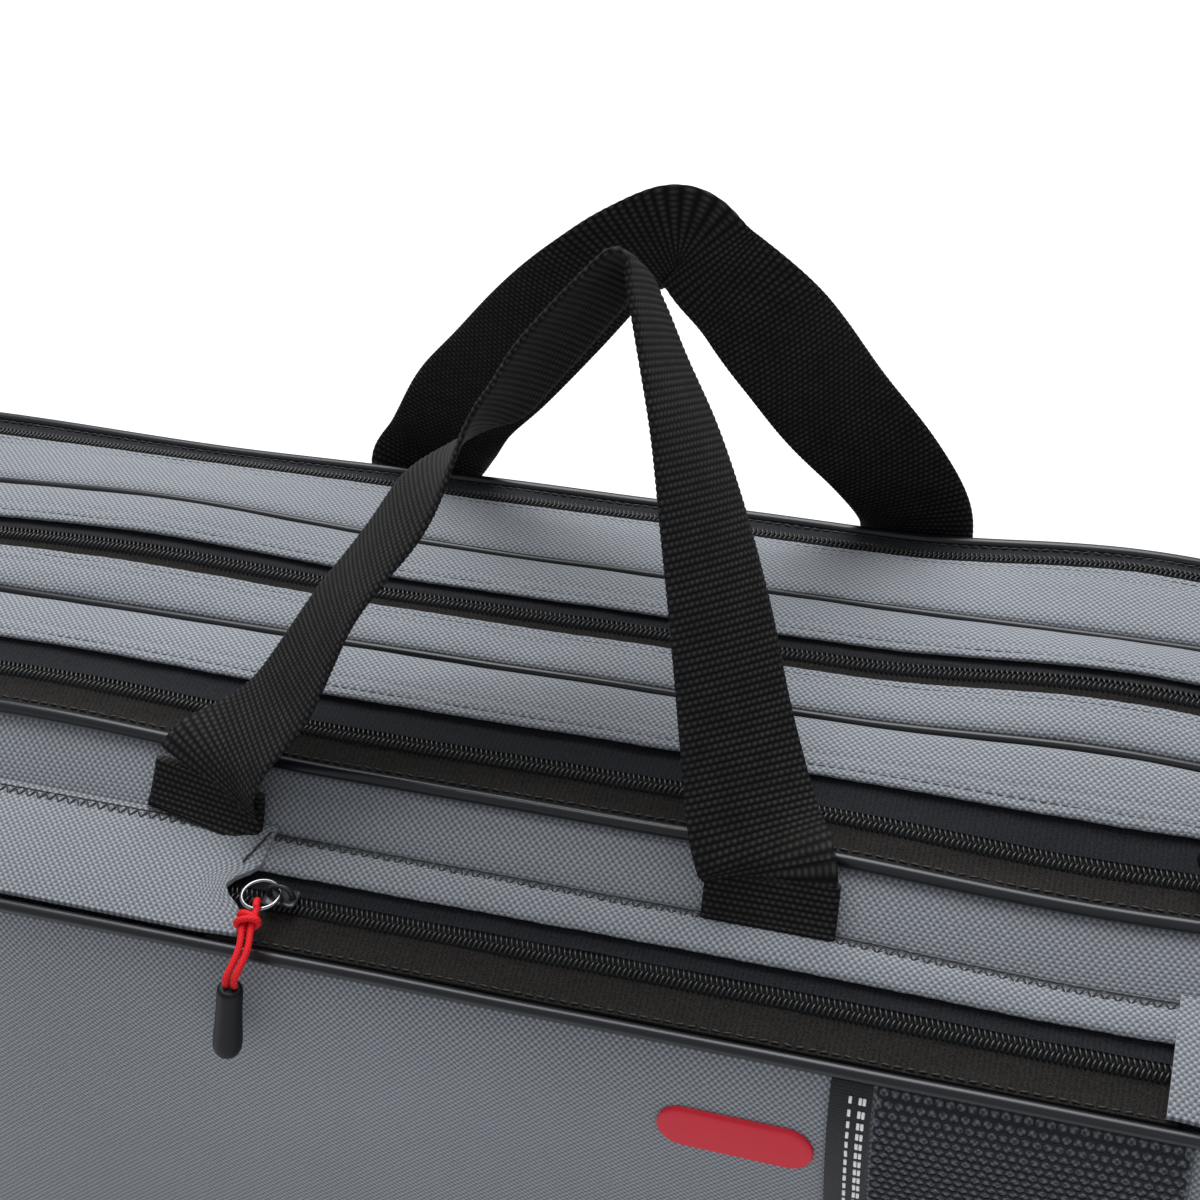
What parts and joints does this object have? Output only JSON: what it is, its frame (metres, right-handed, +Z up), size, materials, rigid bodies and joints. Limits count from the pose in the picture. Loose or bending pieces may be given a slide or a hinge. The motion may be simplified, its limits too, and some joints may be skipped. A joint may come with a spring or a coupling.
{
  "type": "long soft equipment bag",
  "caption": "Long soft woven bag with side-by-side zipped compartments, a zipped front pocket with a mesh panel, cord-and-sleeve zip pulls and a pair of webbing carry handles.",
  "frame": {"origin": "on the floor under the middle of the main body, half way along its length and half way between its front and back seams", "axes": "+X along the bag's length, -Y towards the pocket, +Z up"},
  "size_m": [0.64, 0.2433, 0.4447],
  "materials": {
    "grey_fabric": "coarse plain-woven polyester, matt, mid grey",
    "lining": "thin black lining cloth",
    "zip_tape": "black knitted zip tape, matt",
    "zip_coil": "black nylon coil, satin",
    "webbing": "black ribbed polypropylene webbing",
    "piping": "black PVC-covered piping cord, semi-gloss",
    "slider_metal": "black lacquered zip slider",
    "ring_wire": "bright nickel-plated wire",
    "pull_cord": "red braided cord",
    "pull_sleeve": "black moulded soft PVC, satin",
    "mesh_net": "dark honeycomb spacer mesh",
    "reflective": "black tape with rows of pale reflective dashes",
    "emblem_red": "plain red raised print",
    "base_board": "thin hollow-ribbed stiffener board"
  },
  "bodies": {
    "bag": {"front_panel": "grey_fabric", "back_panel": "grey_fabric", "gusset_front": "grey_fabric", "gusset_middle": "grey_fabric", "gusset_rear": "grey_fabric", "top_strip_front": "grey_fabric", "top_strip_middle_front": "grey_fabric", "top_strip_middle_rear": "grey_fabric", "top_strip_rear": "grey_fabric", "pocket_face": "grey_fabric", "pocket_gusset": "grey_fabric", "pocket_hem_strip": "grey_fabric", "divider_front": "lining", "divider_rear": "lining", "base_board_front": "base_board", "base_board_middle": "base_board", "base_board_rear": "base_board", "piping_front": "piping", "piping_divider_front": "piping", "piping_divider_rear": "piping", "piping_back": "piping", "piping_pocket": "piping", "zip_front_tape_front": "zip_tape", "zip_front_tape_rear": "zip_tape", "zip_front_coil": "zip_coil", "zip_middle_tape_front": "zip_tape", "zip_middle_tape_rear": "zip_tape", "zip_middle_coil": "zip_coil", "zip_rear_tape_front": "zip_tape", "zip_rear_tape_rear": "zip_tape", "zip_rear_coil": "zip_coil", "zip_pocket_tape_front": "zip_tape", "zip_pocket_tape_rear": "zip_tape", "zip_pocket_coil": "zip_coil", "handle_front_foot_left": "webbing", "handle_front_foot_right": "webbing", "handle_back_foot_left": "webbing", "handle_back_foot_right": "webbing", "mesh_panel": "mesh_net", "reflective_tape": "reflective", "emblem": "emblem_red"},
    "slider_front": {"slider_front": "slider_metal"},
    "pull_front": {"pull_ring_front": "ring_wire", "pull_cord_front": "pull_cord", "pull_sleeve_front": "pull_sleeve"},
    "slider_middle": {"slider_middle": "slider_metal"},
    "pull_middle": {"pull_ring_middle": "ring_wire", "pull_cord_middle": "pull_cord", "pull_sleeve_middle": "pull_sleeve"},
    "slider_rear": {"slider_rear": "slider_metal"},
    "pull_rear": {"pull_ring_rear": "ring_wire", "pull_cord_rear": "pull_cord", "pull_sleeve_rear": "pull_sleeve"},
    "slider_pocket": {"slider_pocket": "slider_metal", "pull_ring_pocket": "ring_wire"},
    "pull_pocket": {"pull_cord_pocket": "pull_cord", "pull_sleeve_pocket": "pull_sleeve"},
    "handle_front": {"handle_front": "webbing"},
    "handle_back": {"handle_back": "webbing"}
  },
  "joints": [
    {"name": "zip_front_slide", "type": "slide", "parent": "bag", "child": "slider_front", "axis": [-1, 0, 0], "range_m": [0, 0.49]},
    {"name": "pull_front_swing", "type": "hinge", "parent": "slider_front", "child": "pull_front", "pos_m": [0.25, -0.0645, 0.30105], "axis": [0, 1, 0], "range_deg": [0, 150]},
    {"name": "zip_middle_slide", "type": "slide", "parent": "bag", "child": "slider_middle", "axis": [-1, 0, 0], "range_m": [0, 0.49]},
    {"name": "pull_middle_swing", "type": "hinge", "parent": "slider_middle", "child": "pull_middle", "pos_m": [0.25, -0.0015, 0.3032], "axis": [0, 1, 0], "range_deg": [0, 150]},
    {"name": "zip_rear_slide", "type": "slide", "parent": "bag", "child": "slider_rear", "axis": [-1, 0, 0], "range_m": [0, 0.49]},
    {"name": "pull_rear_swing", "type": "hinge", "parent": "slider_rear", "child": "pull_rear", "pos_m": [0.25, 0.065, 0.29517], "axis": [0, 1, 0], "range_deg": [0, 150]},
    {"name": "zip_pocket_slide", "type": "slide", "parent": "bag", "child": "slider_pocket", "axis": [1, 0, 0], "range_m": [0, 0.238]},
    {"name": "pull_pocket_swing", "type": "hinge", "parent": "slider_pocket", "child": "pull_pocket", "pos_m": [-0.05692, -0.12298, 0.27976], "axis": [1, 0, 0], "range_deg": [-120, 0]},
    {"name": "handle_front_fold", "type": "hinge", "parent": "bag", "child": "handle_front", "pos_m": [0, -0.0905, 0.2915], "axis": [1, 0, 0], "range_deg": [0, 80]},
    {"name": "handle_back_fold", "type": "hinge", "parent": "bag", "child": "handle_back", "pos_m": [0, 0.0915, 0.263], "axis": [1, 0, 0], "range_deg": [-140, 0]}
  ]
}
